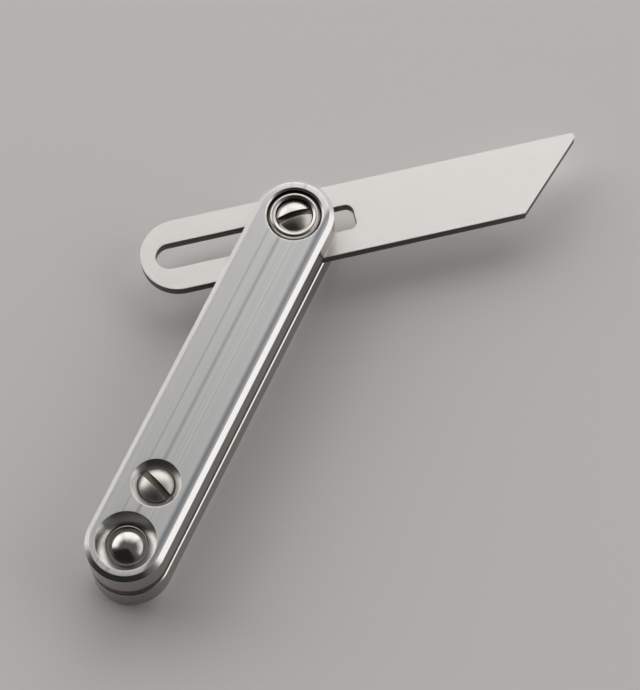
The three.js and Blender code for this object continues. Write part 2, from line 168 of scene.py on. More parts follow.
REAR_THREAD_RUNOUT = 0.3 * MM
REAR_LEAD_SHARE = 0.8
RIDGE_SHARE = 0.42

# Button
BUTTON_RADIUS = 5.05 * MM
BUTTON_SINK = 3.25 * MM
DOME_RADIUS = 4.65 * MM
DOME_RISE = 1.5 * MM
BUTTON_EDGE = 0.15 * MM
FLANGE_RADIUS = 5.9 * MM
FLANGE_THICKNESS = 1.2 * MM
STEM_RADIUS = 2 * MM
STEM_TIP_ROUND = 0.3 * MM
STEM_FILLET = 0.2 * MM
FLANGE_DEPTH = 5.15 * MM
FLANGE_TOP = FACE_TOP - FLANGE_DEPTH

# Clamp and release works
POST_RADIUS = 2.7 * MM
POST_HEAD_RADIUS = 4.6 * MM
POST_HEAD_THICKNESS = 1.1 * MM
POST_TAP_DEPTH = 8 * MM
RETAINER_BORE = 3 * MM
SPANNER_HOLE = 0.8 * MM
SPANNER_REACH = 5.2 * MM
DISC_BORE = 2.85 * MM
DISC_THICKNESS = 0.35 * MM
DISC_COUNT = 4
COIL_WIRE = 0.22 * MM
COIL_TURNS = 3
FULCRUM_PIN = 1.5 * MM
PIN_ROUND = 0.25 * MM
PART_ROUND = 0.15 * MM
BUSH_ROUND = 0.12 * MM
SPACER_EDGE = 0.15 * MM

# How finely round forms are divided
ROUND_STEPS = 128
CORNER_STEPS = 32
FILLET_STEPS = 3
CREST_STEPS = 8
DOME_STEPS = 28
DISC_STEPS = 96
COIL_SIDES = 12
COIL_STEPS = 48
RIDGE_SIDES = 4
RIDGE_STEPS = 32
SLOT_EDGE_STEPS = 2

# Spans that hold the shading beside a corner, the angle of a hard edge, and what counts as no distance
HOLD = 0.1 * MM
LEAST_HELD = 6 * HOLD
SHARP_ANGLE = math.radians(32)
TOUCHING = 1e-7
LEVEL = 1e-8

# The triangulation keeps the faces inside the outline, and takes points this near as one
KEEP_INSIDE = 1
SAME_POINT = 1e-6


class Value:
    """A node's socket. Used in an expression, it adds the Math nodes for it."""

    def __init__(self, tree, socket):
        self.tree = tree
        self.socket = socket

    def math(self, operation, *terms):
        node = self.tree.nodes.new("ShaderNodeMath")
        node.operation = operation
        for slot, term in enumerate(terms):
            plug(self.tree, node.inputs[slot], term)
        return Value(self.tree, node.outputs[0])

    def __add__(self, other):
        return self.math("ADD", self, other)

    def __sub__(self, other):
        return self.math("SUBTRACT", self, other)

    def __rsub__(self, other):
        return self.math("SUBTRACT", other, self)

    def __mul__(self, other):
        return self.math("MULTIPLY", self, other)

    def __truediv__(self, other):
        return self.math("DIVIDE", self, other)

    __radd__ = __add__
    __rmul__ = __mul__

    def absolute(self):
        return self.math("ABSOLUTE", self)

    def root(self):
        return self.math("SQRT", self)

    def over_angle(self, other):
        """The angle whose tangent is this over the other."""
        return self.math("ARCTAN2", self, other)

    def step(self, low, high):
        """0 below low and 1 above high, with a smooth change between them."""
        node = self.tree.nodes.new("ShaderNodeMapRange")
        node.interpolation_type = "SMOOTHSTEP"
        plug(self.tree, node.inputs["Value"], self)
        node.inputs["From Min"].default_value = low
        node.inputs["From Max"].default_value = high
        return Value(self.tree, node.outputs["Result"])

    def band(self, middle, half_width):
        """1 at the middle, and smoothly 0 at half a width to each side."""
        return 1 - (self - middle).absolute().step(0, half_width)

    def between(self, low, high, soft):
        """1 between two bounds and 0 beyond them, with a soft change at each."""
        return self.step(low - soft, low + soft) * (1 - self.step(high - soft, high + soft))


def plug(tree, socket, value):
    if isinstance(value, Value):
        tree.links.new(value.socket, socket)
    else:
        socket.default_value = value


class Graph:
    """A node tree, and the ways to add nodes to it."""

    def __init__(self, tree):
        self.tree = tree
        tree.nodes.clear()

    def node(self, kind, settings=None, values=None, output=0):
        node = self.tree.nodes.new(kind)
        for name, setting in (settings or {}).items():
            setattr(node, name, setting)
        for name, value in (values or {}).items():
            plug(self.tree, node.inputs[name], value)
        return Value(self.tree, node.outputs[output]) if len(node.outputs) else None

    def join(self, x, y, z):
        return self.node("ShaderNodeCombineXYZ", values={0: x, 1: y, 2: z})


class Shader(Graph):
    """The graph of a material or of the world."""

    def vector(self, operation, *terms, **named):
        values = {**dict(enumerate(terms)), **named}
        return self.node("ShaderNodeVectorMath", {"operation": operation}, values)

    def position(self, turn=0, centre=(0, 0, 0)):
        """The object's own coordinates about a centre, turned about Z."""
        place = self.node("ShaderNodeTexCoord", output="Object")
        values = {"Vector": self.vector("SUBTRACT", place, centre), "Rotation": (0, 0, -turn)}
        return self.node("ShaderNodeMapping", {"vector_type": "POINT"}, values)

    def lean(self, direction, amount):
        """The surface's own normal, leant along a direction of the object."""
        settings = {"vector_type": "VECTOR", "convert_from": "OBJECT", "convert_to": "WORLD"}
        normal = self.node("ShaderNodeNewGeometry", output="Normal")
        turned = self.node("ShaderNodeVectorTransform", settings, {0: direction})
        shift = self.vector("SCALE", turned, Scale=amount)
        return self.vector("NORMALIZE", self.vector("ADD", normal, shift))

    def split(self, vector):
        node = self.tree.nodes.new("ShaderNodeSeparateXYZ")
        plug(self.tree, node.inputs[0], vector)
        return [Value(self.tree, output) for output in node.outputs]

    def axes(self, *about):
        return self.split(self.position(*about))

    def noise(self, vector, scale, detail, roughness=0.5):
        values = {"Vector": vector, "Scale": scale, "Detail": detail, "Roughness": roughness}
        return self.node("ShaderNodeTexNoise", {"normalize": True}, values)

    def streaks(self, x, y, z, detail, roughness=0.5):
        """Noise whose grains are stretched by scaling each coordinate on its own."""
        return self.noise(self.join(x, y, z), 1, detail, roughness)

    def mix(self, share, first, second):
        """A mix of two colours, which are the node's inputs 6 and 7 and its output 2."""
        node = self.tree.nodes.new("ShaderNodeMix")
        node.data_type = "RGBA"
        plug(self.tree, node.inputs[0], share)
        plug(self.tree, node.inputs[6], first)
        plug(self.tree, node.inputs[7], second)
        return Value(self.tree, node.outputs[2])

    def bump(self, height, distance, strength):
        values = {"Strength": strength, "Distance": distance, "Height": height}
        return self.node("ShaderNodeBump", values=values)


def coated(name, build):
    """A material whose colour, roughness and normal come from the nodes that build adds."""
    material = bpy.data.materials.new(name)
    material.use_nodes = True
    shader = Shader(material.node_tree)
    surface = shader.node("ShaderNodeBsdfPrincipled", values=build(shader))
    shader.node("ShaderNodeOutputMaterial", values={"Surface": surface})
    return material


def metal(name, build):
    return coated(name, lambda shader: {"Metallic": 1.0, **build(shader)})


def grey(level, warmth=0.0):
    """A linear grey, warmer as red rises and blue falls by the same share."""
    return (level * (1 + warmth), level, level * (1 - warmth), 1)


# Drawing lines along the top face: place across it, half width, and how much lighter than the rest
FACE_LINES = (
    (0.75 * MM, 0.75 * MM, -0.20),
    (4.05 * MM, 0.4 * MM, -0.14),
    (-2.45 * MM, 0.3 * MM, 0.10),
    (-3.45 * MM, 0.25 * MM, 0.05),
    (-1.0 * MM, 0.35 * MM, -0.06),
    (-3.0 * MM, 0.25 * MM, -0.06),
)
STRIPE = -7.85 * MM
STRIPE_HALF_WIDTH = 1.15 * MM
STRIPE_SHARE = 0.75
STRIPE_COLOUR = (0.2, 0.215, 0.25, 1)

# Where painted sheen makes the face and the blade lighter, and by how much
LIGHTER_FROM = PIVOT.x - 2 * MM
LIGHTER_TO = PIVOT.x + 9 * MM
LIGHTER_BY = 0.26
BLADE_LIGHTER_FROM = -40 * MM
BLADE_LIGHTER_TO = 30 * MM
BLADE_LIGHTER_BY = 0.3

# Finest grinding hairs, in hairs and lengths to the metre, or on turned faces in lengths to the radian
HAIRS = 60000
HAIR_LENGTHS = 20000
TURNED_LENGTHS = 500
TURNING_PITCH = 0.2 * MM

# In every finish, the number by which a coordinate is multiplied is its count of grains to the metre


def brushed_face(shader):
    x, y, z = shader.axes()
    hairs = shader.streaks(x * HAIR_LENGTHS, y * HAIRS, z, detail=1)
    fine = shader.streaks(x * 5, y * 3600, z, detail=2, roughness=0.6)
    broad = shader.streaks(x * 3, y * 520, z, detail=2)
    # Painted sheen: the face turns lighter towards its end past the pivot
    painted_sheen = x.step(LIGHTER_FROM, LIGHTER_TO) * LIGHTER_BY
    tone = 0.74 + (fine - 0.5) * 0.16 + (broad - 0.5) * 0.16 + painted_sheen
    for middle, half_width, depth in FACE_LINES:
        tone = tone + y.band(middle, half_width) * depth
    stripe = y.band(STRIPE, STRIPE_HALF_WIDTH) * STRIPE_SHARE
    colour = shader.mix(tone, (0, 0, 0, 1), grey(1, -0.008))
    return {
        "Base Color": shader.mix(stripe, colour, STRIPE_COLOUR),
        "Roughness": 0.32 + (fine - 0.5) * 0.1,
        "Normal": shader.lean((0, 1, 0), (hairs - 0.5) * 2.0),
    }


def polished_edge(shader):
    x, y, z = shader.axes()
    drawn = shader.streaks(x * 30, y * 1800, z * 1800, detail=2)
    return {
        "Base Color": shader.mix(drawn, grey(0.82, 0.008), grey(0.92, 0.01)),
        "Roughness": 0.14 + drawn * 0.08,
    }


# Painted reflection: the stock's sides get a dark brownish colour that stands in for the dark floor they
# mirror; the streaks and hairs are the milling
def milled_side_painted_reflection(shader):
    x, y, z = shader.axes()
    drawn = shader.streaks(x * 25, y * 25, z * 2200, detail=3, roughness=0.6)
    hairs = shader.streaks(x * HAIR_LENGTHS, y * HAIR_LENGTHS, z * HAIRS, detail=1)
    return {
        "Base Color": shader.mix(drawn, (0.3, 0.27, 0.25, 1), (0.44, 0.4, 0.37, 1)),
        "Roughness": 0.16 + drawn * 0.08,
        "Normal": shader.lean((0, 0, 1), (hairs - 0.5) * 0.3),
    }


def seam_face(shader):
    x, y, z = shader.axes()
    milled = shader.streaks(x * 900, y * 120, z, detail=3)
    return {
        "Base Color": shader.mix(milled, grey(0.5, 0.01), grey(0.7, 0.02)),
        "Roughness": 0.3 + milled * 0.12,
        "Normal": shader.bump(milled, 0.003 * MM, 0.4),
    }


def turned_finish(centre, dark, light, roughness, spread):
    """Turning lines round a vertical axis, which spread the light along the radius."""
    def build(shader):
        place = shader.position(centre=centre.to_3d())
        x, y, z = shader.split(place)
        radius = (x * x + y * y).root()
        lines = shader.streaks(radius / TURNING_PITCH, z / TURNING_PITCH, 0.0, detail=3, roughness=0.65)
        grooves = shader.streaks(radius * HAIRS, z * HAIRS, y.over_angle(x) * TURNED_LENGTHS, detail=1)
        blotch = shader.noise(place, scale=500, detail=2)
        outward = shader.vector("NORMALIZE", shader.join(x, y, 0.0))
        return {
            "Base Color": shader.mix(0.5 + (lines - 0.5) * 0.35 + (blotch - 0.5) * 0.4, dark, light),
            "Roughness": roughness + (lines - 0.5) * 0.06,
            "Normal": shader.lean(outward, (grooves - 0.5) * spread),
        }
    return build


def satin_face(shader):
    along, across, up = shader.axes(BLADE_TURN, PIVOT.to_3d())
    hairs = shader.streaks(along * HAIR_LENGTHS, across * HAIRS, up, detail=1)
    fine = shader.streaks(along * 12, across * 3600, up, detail=2, roughness=0.6)
    cloud = shader.streaks(along * 16, across * 90, up, detail=2)
    # Painted sheen: the blade turns lighter towards its tip
    painted_sheen = along.step(BLADE_LIGHTER_FROM, BLADE_LIGHTER_TO) * BLADE_LIGHTER_BY
    tone = 0.45 + (fine - 0.5) * 0.5 + (cloud - 0.5) * 0.3 + painted_sheen
    crosswise = Matrix.Rotation(BLADE_TURN, 3, "Z") @ Vector((0, 1, 0))
    return {
        "Base Color": shader.mix(tone, grey(0.92, 0.025), grey(0.99, 0.015)),
        "Roughness": 0.4 + (fine - 0.5) * 0.1,
        "Normal": shader.lean(crosswise, (hairs - 0.5) * 2.4),
    }


# Painted reflection: the blade's edges get a near-black warm colour that stands in for the dark floor they
# mirror; the streaks are grinding marks
def blade_side_painted_reflection(shader):
    along, across, up = shader.axes(BLADE_TURN, PIVOT.to_3d())
    ground = shader.streaks(along * 700, across * 700, up * 90, detail=3)
    return {
        "Base Color": shader.mix(ground, grey(0.07, 0.08), grey(0.13, 0.08)),
        "Roughness": 0.3 + ground * 0.14,
    }


def polished_dome(shader):
    place = shader.position(centre=BUTTON.to_3d())
    x, y, z = shader.split(place)
    scratch = shader.streaks(x * 2600, y * 500, z * 900, detail=4, roughness=0.7)
    haze = shader.noise(place, scale=420, detail=2)
    return {
        "Base Color": shader.mix(haze, grey(0.56, 0.03), grey(0.66, 0.04)),
        "Roughness": 0.1 + scratch.step(0.55, 0.8) * 0.12 + haze * 0.05,
    }


# Painted shade: the screw slots get a dark colour for the shade inside them; the marks are random tool marks
def slot_floor_painted_shade(shader):
    marks = shader.noise(shader.position(), scale=2200, detail=3)
    return {
        "Base Color": shader.mix(marks, grey(0.13, 0.12), grey(0.24, 0.14)),
        "Roughness": 0.36 + marks * 0.16,
        "Normal": shader.bump(marks, 0.006 * MM, 0.4),
    }


def plain_metal(dark, light, roughness, scale=900):
    """A fine even grain with slow changes of tone, for the works inside the body and for the painted shade.
    """
    def build(shader):
        place = shader.position()
        grain = shader.noise(place, scale=scale, detail=3)
        cloud = shader.noise(place, scale=scale / 6, detail=2)
        return {
            "Base Color": shader.mix(grain * 0.6 + cloud * 0.4, dark, light),
            "Roughness": roughness + (grain - 0.5) * 0.12,
            "Normal": shader.bump(grain, 0.002 * MM, 0.3),
        }
    return build


NICKEL_DARK = grey(0.56, 0.035)
NICKEL_LIGHT = grey(0.7, 0.04)
TURNED_DARK = grey(0.72, 0.015)
TURNED_LIGHT = grey(0.88, 0.02)
BRONZE_DARK = (0.42, 0.27, 0.11, 1)
BRONZE_LIGHT = (0.6, 0.42, 0.2, 1)

brushed_face_metal = metal("brushed_face", brushed_face)
polished_edge_metal = metal("polished_edge", polished_edge)
milled_side_painted_reflection_metal = metal("milled_side_painted_reflection", milled_side_painted_reflection)
seam_face_metal = metal("seam_face", seam_face)
well_metal = metal("turned_well", turned_finish(PIVOT, TURNED_DARK, TURNED_LIGHT, 0.24, 0.7))
sink_metal = metal("turned_sink", turned_finish(REAR_SCREW, TURNED_DARK, TURNED_LIGHT, 0.22, 0.6))
dish_metal = metal("turned_dish", turned_finish(BUTTON, grey(0.82, 0.015), grey(0.95, 0.02), 0.16, 0.4))
pocket_metal = metal("milled_pocket", plain_metal(grey(0.5, 0.01), grey(0.66, 0.02), 0.4))
satin_metal = metal("satin_blade", satin_face)
blade_side_painted_reflection_metal = metal("blade_side_painted_reflection", blade_side_painted_reflection)
dome_metal = metal("polished_dome", polished_dome)
rear_head_metal = metal("turned_rear_head", turned_finish(REAR_SCREW, NICKEL_DARK, NICKEL_LIGHT, 0.32, 0.9))
tension_head_metal = metal("turned_tension_head", turned_finish(PIVOT, NICKEL_DARK, NICKEL_LIGHT, 0.26, 0.7))
collar_metal = metal("turned_collar", turned_finish(PIVOT, NICKEL_DARK, NICKEL_LIGHT, 0.2, 1.0))
slot_painted_shade_metal = metal("slot_floor_painted_shade", slot_floor_painted_shade)
# Painted shade: a dark metal laid where shade falls, in the well floor, the lower sink, the dish bore, under
# the screw heads and on the collar's and button's walls
painted_shade_metal = metal("crevice_painted_shade", plain_metal(grey(0.3, 0.1), grey(0.44, 0.1), 0.4))
ground_metal = metal("ground_steel", plain_metal(grey(0.5, 0.01), grey(0.64, 0.02), 0.26))
spring_metal = metal("spring_steel", plain_metal(grey(0.2, -0.02), grey(0.34, 0.0), 0.28, 1600))
lever_metal = metal("lever_steel", plain_metal(grey(0.32, 0.0), grey(0.46, 0.01), 0.36, 700))
bronze_metal = metal("bronze", plain_metal(BRONZE_DARK, BRONZE_LIGHT, 0.3, 1100))


def rounded(corners, closed=False, steps=FILLET_STEPS):
    """A line through rounded (x, y, radius) corners, and the stretch that each of its spans belongs to."""
    count = len(corners)
    points, owners = [], []
    for index, (x, y, radius) in enumerate(corners):
        corner = Vector((x, y))
        before = Vector(corners[(index - 1) % count][:2]) - corner
        after = Vector(corners[(index + 1) % count][:2]) - corner
        at_end = not closed and index in (0, count - 1)
        if at_end or radius <= 0:
            points.append(corner)
            owners.append(index)
            continue
        before.normalize()
        after.normalize()
        half = before.angle(after) / 2
        centre = corner + (before + after).normalized() * (radius / math.sin(half))
        start = corner + before * (radius / math.tan(half)) - centre
        turn = start.angle_signed(corner + after * (radius / math.tan(half)) - centre)
        for step in range(steps + 1):
            points.append(centre + Matrix.Rotation(-turn * step / steps, 2) @ start)
            owners.append(index)
    held, spans = [], []
    for index, point in enumerate(points):
        held.append(point)
        spans.append(owners[index])
        following = (index + 1) % len(points)
        ahead = points[following]
        straight = owners[index] != owners[following] and (closed or following > 0)
        if straight and (ahead - point).length > LEAST_HELD:
            reach = (ahead - point).normalized() * HOLD
            held += [point + reach, ahead - reach]
            spans += [owners[index]] * 2
    return held, spans


def offset(corners, inset):
    """A closed outline, anticlockwise, with every side moved inwards."""
    count = len(corners)
    moved = []
    for index, (x, y, radius) in enumerate(corners):
        corner = Vector((x, y))
        before = (corner - Vector(corners[index - 1][:2])).normalized()
        after = (Vector(corners[(index + 1) % count][:2]) - corner).normalized()
        inward = Vector((-before.y, before.x)) + Vector((-after.y, after.x))
        inward *= inset / (inward.length_squared / 2)
        moved.append((x + inward.x, y + inward.y, max(radius - inset, 0)))
    return moved


def stadium(start, end, radius):
    """The corners of two half circles joined by straight sides along X."""
    low, high = min(start, end) - radius, max(start, end) + radius
    return [(high, -radius, radius), (high, radius, radius), (low, radius, radius), (low, -radius, radius)]


def section(bore, radius, low, high, rounding=0):
    """Half the section of a ring, or of a rod where the bore is 0, with its outer corners rounded."""
    return [
        (bore, low, CUT_ROUND),
        (radius, low, rounding),
        (radius, high, rounding),
        (bore, high, CUT_ROUND),
    ]


def bevelled(low, high, edge):
    """The profile of a plate whose edges are broken at both faces."""
    return [(edge, low, 0), (0, low + edge, 0), (0, high - edge, 0), (edge, high, 0)]


def linked(name, data):
    made = bpy.data.objects.new(name, data)
    bpy.context.scene.collection.objects.link(made)
    return made


class Form:
    """A mesh that grows by rings of vertices, bands between them and caps."""

    def __init__(self, place=None):
        self.mesh = bmesh.new()
        self.place = place or Matrix()

    def ring(self, points, height=None):
        if height is None:
            return [self.mesh.verts.new(self.place @ Vector(point)) for point in points]
        return [self.mesh.verts.new(self.place @ Vector((x, y, height))) for x, y in points]

    def band(self, first, second, finish, smooth=True):
        count = max(len(first), len(second))
        for index in range(count):
            ahead = (index + 1) % count
            corners = [first[index % len(first)], first[ahead % len(first)]]
            corners += [second[ahead % len(second)], second[index % len(second)]]
            face = self.mesh.faces.new(list(dict.fromkeys(corners)))
            face.material_index = finish
            face.smooth = smooth

    def cap(self, loops, finish):
        """Closes a level outline, the first loop, round the convex holes that are the others."""
        flatten = self.place.inverted()
        corners = [vertex for loop in loops for vertex in loop]
        points = [(flatten @ vertex.co).xy / MM for vertex in corners]
        edges = []
        for loop in loops:
            start = len(edges)
            edges += [(start + index, start + (index + 1) % len(loop)) for index in range(len(loop))]
        insides = [set(loop) for loop in loops[1:]]
        _, _, triangles, sources, _, _ = delaunay_2d_cdt(points, edges, [], KEEP_INSIDE, SAME_POINT)
        for triangle in triangles:
            ends = [corners[sources[index][0]] for index in triangle]
            if any(inside.issuperset(ends) for inside in insides):
                continue
            face = self.mesh.faces.new(ends)
            face.material_index = finish
            face.smooth = False

    def lathe(
        self, profile, finishes, centre=(0, 0), closed=False, steps=ROUND_STEPS, fillet_steps=FILLET_STEPS
    ):
        """A (radius, height, rounding) profile turned about a vertical axis. Returns its rings."""
        points, spans = rounded(profile, closed, fillet_steps)
        turns = [2 * math.pi * step / steps for step in range(steps)]
        rings = []
        for radius, height in points:
            angles = turns if radius > TOUCHING else [0]
            circle = [(centre[0] + radius * math.cos(a), centre[1] + radius * math.sin(a)) for a in angles]
            rings.append(self.ring(circle, height))
        for index, (start, end) in enumerate(zip(rings, rings[1:] + rings[:1])):
            if closed or index < len(rings) - 1:
                flat = abs(points[index].y - points[(index + 1) % len(points)].y) < LEVEL
                finish = finishes if isinstance(finishes, int) else finishes[spans[index]]
                self.band(start, end, finish, not flat)
        return rings

    def loft(self, corners, profile, finishes, inward=1):
        """An outline lofted through an (inset, height, rounding) profile. Returns its end rings."""
        points, spans = rounded(profile)
        rings = []
        for inset, height in points:
            outline, _ = rounded(offset(corners, inset * inward), True, CORNER_STEPS)
            rings.append(self.ring(outline, height))
        for index, (start, end) in enumerate(zip(rings, rings[1:])):
            self.band(start, end, finishes[spans[index]])
        return rings[0], rings[-1]

    def plate(self, corners, profile, finishes, faces, holes=()):
        """A lofted outline, closed at both ends, with holes lofted the other way."""
        ends = [self.loft(corners, profile, finishes)]
        ends += [self.loft(hole, profile, finishes, -1) for hole in holes]
        self.cap([first for first, _ in ends], faces[0])
        self.cap([last for _, last in ends], faces[1])

    def object(self, name, materials):
        bmesh.ops.remove_doubles(self.mesh, verts=self.mesh.verts, dist=TOUCHING)
        bmesh.ops.dissolve_degenerate(self.mesh, edges=self.mesh.edges, dist=TOUCHING)
        bmesh.ops.recalc_face_normals(self.mesh, faces=self.mesh.faces)
        data = bpy.data.meshes.new(name)
        self.mesh.to_mesh(data)
        self.mesh.free()
        for material in materials:
            data.materials.append(material)
        return linked(name, data)

    def piece(self, name, materials, body, node, slot):
        finish_piece(self.object(name, materials), body, [node])


def settle(piece):
    """Replaces an object's mesh by what its modifiers make of it, and removes them."""
    graph = bpy.context.evaluated_depsgraph_get()
    made = bpy.data.meshes.new_from_object(piece.evaluated_get(graph), depsgraph=graph)
    piece.modifiers.clear()
    piece.data = made


def carve(piece, *cutters, operation="DIFFERENCE"):
    """Cuts other solids out of a piece, in millimetres. All of them share one list of materials."""
    for solid in (piece, *cutters):
        solid.data.transform(Matrix.Scale(1 / MM, 4))
    for cutter in cutters:
        modifier = piece.modifiers.new(cutter.name, "BOOLEAN")
        modifier.operation = operation
        modifier.solver = "MANIFOLD"
        modifier.object = cutter
    settle(piece)
    piece.data.transform(Matrix.Scale(MM, 4))
    for cutter in cutters:
        bpy.data.objects.remove(cutter)


def finish_piece(piece, body, nodes):
    piece.data.set_sharp_from_angle(angle=SHARP_ANGLE)
    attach(piece, body)
    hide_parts(*nodes)


def cylinder_cutter(name, radius, bottom, top, materials, finish, centre):
    form = Form()
    form.lathe(section(0, radius, bottom, top), finish, centre)
    return form.object(name, materials)


HALF_METALS = [
    brushed_face_metal, polished_edge_metal, milled_side_painted_reflection_metal, seam_face_metal,
    well_metal, sink_metal, dish_metal, pocket_metal, painted_shade_metal,
]
FACE, EDGE, SIDE, SEAM, WELL, SINK, DISH, POCKET, PAINTED_SHADE = range(len(HALF_METALS))

# Metals of the other pieces, by their place in each piece's own list; DARK and SHADE are painted shade
FLAT, RIM = range(2)
BRIGHT, DARK = range(2)
HEAD, SLOT, SHADE = range(3)


def upper_half():
    bottom = upper_low.z
    washer_top = washer_high.z + PRESS_CLEARANCE
    washer_radius = WASHER_RADIUS + PRESS_CLEARANCE
    sink_depth = (SINK_RADIUS - SINK_BORE) / math.tan(SINK_ANGLE / 2)
    shade_depth = sink_depth * (SINK_RADIUS - SINK_SHADE) / (SINK_RADIUS - SINK_BORE)
    form = Form()
    seam, face = form.loft(stadium(BUTTON.x, PIVOT.x, BODY_RADIUS), [
        (SEAM_CHAMFER, bottom, 0),
        (0, bottom + SEAM_CHAMFER, EDGE_ROUND),
        (0, FACE_TOP - OUTER_CHAMFER, EDGE_ROUND),
        (OUTER_CHAMFER, FACE_TOP, EDGE_ROUND),
        (OUTER_CHAMFER + LAND, FACE_TOP, 0),
    ], (EDGE, SIDE, EDGE, FACE))
    # The well floor and post bore, the sink below SINK_SHADE and the dish's bore carry the painted shade
    # metal
    well = form.lathe([
        (WELL_RADIUS + WELL_BREAK + LAND, FACE_TOP, 0),
        (WELL_RADIUS + WELL_BREAK, FACE_TOP, EDGE_ROUND),
        (WELL_RADIUS, FACE_TOP - WELL_BREAK, EDGE_ROUND),
        (WELL_RADIUS, FACE_TOP - WELL_DEPTH, FINE_ROUND),
        (POST_BORE, FACE_TOP - WELL_DEPTH, CUT_ROUND),
        (POST_BORE, washer_top, 0),
        (washer_radius, washer_top, FINE_ROUND),
        (washer_radius, bottom, 0),
    ], (FACE, WELL, WELL, PAINTED_SHADE, PAINTED_SHADE, POCKET, POCKET, POCKET), PIVOT)
    sink = form.lathe([
        (SINK_RADIUS + LAND, FACE_TOP, 0),
        (SINK_RADIUS, FACE_TOP, SINK_ROUND),
        (SINK_SHADE, FACE_TOP - shade_depth, 0),
        (SINK_BORE, FACE_TOP - sink_depth, CUT_ROUND),
        (SINK_BORE, bottom, 0),
    ], (FACE, SINK, PAINTED_SHADE, PAINTED_SHADE, POCKET), REAR_SCREW)
    dish = form.lathe([
        (DISH_RADIUS + LAND, FACE_TOP, 0),
        (DISH_RADIUS, FACE_TOP, EDGE_ROUND),
        (BUTTON_BORE, FACE_TOP - DISH_DEPTH, CUT_ROUND),
        (BUTTON_BORE, FLANGE_TOP + PRESS_CLEARANCE, CUT_ROUND),
        (FLANGE_BORE, FLANGE_TOP + PRESS_CLEARANCE, FINE_ROUND),
        (FLANGE_BORE, bottom, 0),
    ], (FACE, DISH, PAINTED_SHADE, PAINTED_SHADE, POCKET, POCKET), BUTTON)
    dowel = form.lathe([
        (DOWEL_BORE, bottom, 0),
        (DOWEL_BORE, bottom + DOWEL_DEPTH, CUT_ROUND),
        (0, bottom + DOWEL_DEPTH + DOWEL_BORE / 2, 0),
    ], POCKET, DOWEL)
    form.cap([face, well[0], sink[0], dish[0]], FACE)
    form.cap([seam, well[-1], sink[-1], dish[-1], dowel[0]], SEAM)
    form.piece("upper_half", HALF_METALS, "stock", "upper_body_half", "brushed_aluminium")


POCKET_TOP = LOWER_TOP + OVERRUN


def trough(name, start, end, radius, bottom):
    """The cutter for a round-ended recess in the lower half."""
    form = Form()
    form.plate(stadium(start, end, radius), [(0, bottom, 0), (0, POCKET_TOP, 0)], [POCKET], (POCKET, POCKET))
    return form.object(name, HALF_METALS)


def lower_half():
    form = Form()
    profile = [
        (OUTER_CHAMFER, 0, 0),
        (0, OUTER_CHAMFER, EDGE_ROUND),
        (0, LOWER_TOP - SEAM_CHAMFER, EDGE_ROUND),
        (SEAM_CHAMFER, LOWER_TOP, 0),
    ]
    form.plate(stadium(BUTTON.x, PIVOT.x, BODY_RADIUS), profile, (EDGE, SIDE, EDGE), (FACE, SEAM))
    half = form.object("lower_half", HALF_METALS)

    channel = trough("channel", BUTTON.x, PIVOT.x, CHANNEL_HALF_WIDTH, CHANNEL_FLOOR)
    carve(channel, trough("eye_pocket", DOWEL.x, REAR_SCREW.x, EYE_POCKET, CHANNEL_FLOOR), operation="UNION")
    carve(channel, trough("pillar", DOWEL.x, REAR_SCREW.x, PILLAR_RADIUS, 0))

    radius = FULCRUM_PIN + RUN_CLEARANCE
    reach = (fulcrum_high.y - fulcrum_low.y) / 2 + BOLT_CLEARANCE
    depth = POCKET_TOP - FULCRUM.z
    mouth = [(radius, -radius, radius), (radius, depth, 0), (-radius, depth, 0), (-radius, -radius, radius)]
    saddle = Form(FULCRUM_PLACE)
    saddle.plate(mouth, [(0, -reach, 0), (0, reach, 0)], [POCKET], (POCKET, POCKET))
    bores = (
        ("spring_well", SPRING_WELL, CHANNEL_FLOOR, PIVOT),
        ("retainer_seat", RETAINER_RADIUS + PRESS_CLEARANCE, retainer_low.z, PIVOT),
        ("coil_recess", COIL_RECESS, CHANNEL_FLOOR - COIL_RECESS_DEPTH, BUTTON),
        ("rear_tap", SINK_BORE, LOWER_TOP - REAR_TAP_DEPTH, REAR_SCREW),
        ("dowel_seat", DOWEL_BORE, LOWER_TOP - DOWEL_DEPTH, DOWEL),
    )
    cutters = [channel, saddle.object("saddle", HALF_METALS)]
    for name, radius, bottom, centre in bores:
        cutters.append(cylinder_cutter(name, radius, bottom, POCKET_TOP, HALF_METALS, POCKET, centre))
    carve(half, *cutters)
    finish_piece(half, "stock", ["lower_body_half"])


def blade_plate():
    half = BLADE_WIDTH / 2
    slant = half / math.tan(TIP_ANGLE)
    tail = -TAIL_REACH - half
    slot_tail = -SLOT_TAIL - SLOT_HALF
    outline = [
        (TIP_REACH - slant, -half, HEEL_RADIUS),
        (TIP_REACH + slant, half, TIP_RADIUS),
        (tail, half, half),
        (tail, -half, half),
    ]
    slot = [
        (SLOT_HEAD, -SLOT_HALF, SLOT_CORNER),
        (SLOT_HEAD, SLOT_HALF, SLOT_CORNER),
        (slot_tail, SLOT_HALF, SLOT_HALF),
        (slot_tail, -SLOT_HALF, SLOT_HALF),
    ]
    profile = bevelled(blade_low.z, blade_high.z, BLADE_EDGE)
    form = Form(Matrix.Translation(PIVOT.to_3d()) @ Matrix.Rotation(BLADE_TURN, 4, "Z"))
    form.plate(outline, profile, (FLAT, RIM, FLAT), (FLAT, FLAT), [slot])
    form.piece("blade_plate", [satin_metal, blade_side_painted_reflection_metal], "blade", "blade", "satin_steel")


def dome_profile(radius, rise, base, rounding=0):
    """A round cap from its edge, which is rounded, to the axis."""
    sphere = (radius * radius + rise * rise) / (2 * rise)
    reach = math.asin(radius / sphere)
    angles = [reach * (1 - step / DOME_STEPS) for step in range(DOME_STEPS + 1)]
    cap = [(sphere * math.sin(a), base + sphere * (math.cos(a) - math.cos(reach)), 0) for a in angles]
    return [(radius, base, rounding), *cap[1:]]


